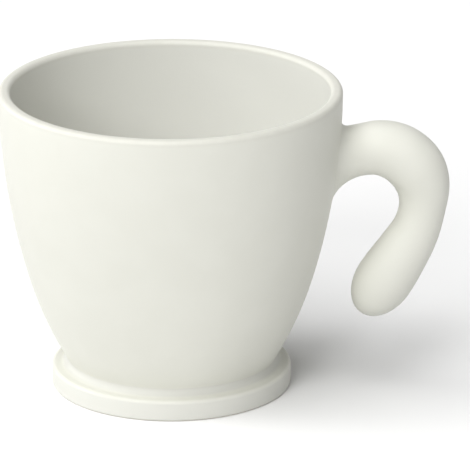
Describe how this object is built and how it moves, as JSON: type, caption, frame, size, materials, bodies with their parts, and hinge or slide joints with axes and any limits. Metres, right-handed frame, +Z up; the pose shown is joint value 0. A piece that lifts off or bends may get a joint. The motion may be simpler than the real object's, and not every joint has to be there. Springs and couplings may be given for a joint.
{
  "type": "coffee cup",
  "caption": "Round-bellied matte ceramic coffee cup on a flat disc foot, with an open hook handle that curls down from the wall and ends in a rounded swelling.",
  "frame": {"origin": "centre of the foot, on the table", "axes": "+Z up along the axis of the bowl, +X towards the handle"},
  "size_m": [0.1182, 0.09, 0.081],
  "materials": {
    "matte_glaze": "matte",
    "joining_slip": "matte"
  },
  "bodies": {
    "root": {"bowl": "matte_glaze", "foot_disc": "matte_glaze", "hook_handle": "matte_glaze", "foot_slip": "joining_slip", "handle_slip": "joining_slip"}
  },
  "joints": []
}
